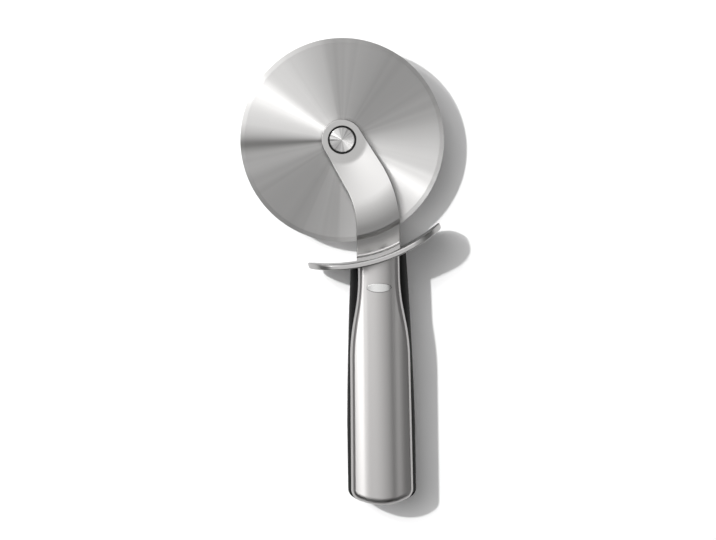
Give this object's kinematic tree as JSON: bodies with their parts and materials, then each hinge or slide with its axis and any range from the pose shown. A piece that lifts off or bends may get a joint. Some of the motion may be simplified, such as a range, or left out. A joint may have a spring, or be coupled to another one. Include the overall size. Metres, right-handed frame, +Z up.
{
  "type": "pizza cutter wheel",
  "caption": "Pizza cutter with a round steel blade on a leaning forked arm, a curved thumb guard and a steel handle with black side grips.",
  "frame": {"origin": "middle of the bounding box's underside, straight under the blade's left-right middle; the cutter lies on its side", "axes": "+X to the right across the handle, +Y along the handle towards the blade, +Z up, along the blade's axle"},
  "size_m": [0.1016, 0.2326, 0.035],
  "materials": {
    "blade_steel": "circular brushed stainless steel with a ground bevel",
    "arm_steel": "satin stainless steel",
    "guard_steel": "satin cast metal",
    "shell_steel": "fine satin stainless steel, polished across the handle",
    "axle_steel": "spun stainless steel",
    "screw_steel": "plain steel",
    "badge_chrome": "polished",
    "black_acetal": "smooth black acetal",
    "core_plastic": "moulded black nylon",
    "grip_rubber": "soft matte black elastomer",
    "tang_metal": "cast"
  },
  "bodies": {
    "handle": {"front_washer": "black_acetal", "rear_washer": "black_acetal", "front_collar": "black_acetal", "rear_collar": "black_acetal", "axle_barrel": "axle_steel", "axle_pin": "axle_steel", "front_arm": "arm_steel", "rear_arm": "arm_steel", "neck_spacer": "black_acetal", "guard": "guard_steel", "foot_screws": "screw_steel", "tang": "tang_metal", "tang_pins": "screw_steel", "front_core": "core_plastic", "rear_core": "core_plastic", "core_screws": "screw_steel", "front_shell": "shell_steel", "rear_shell": "shell_steel", "left_grip": "grip_rubber", "right_grip": "grip_rubber", "badge": "badge_chrome"},
    "wheel": {"blade": "blade_steel", "front_bushing": "black_acetal", "rear_bushing": "black_acetal"}
  },
  "joints": [
    {"name": "blade_spin", "type": "hinge", "parent": "handle", "child": "wheel", "pos_m": [0, 0.06553, 0.0175], "axis": [0, 0, 1], "continuous": true}
  ]
}
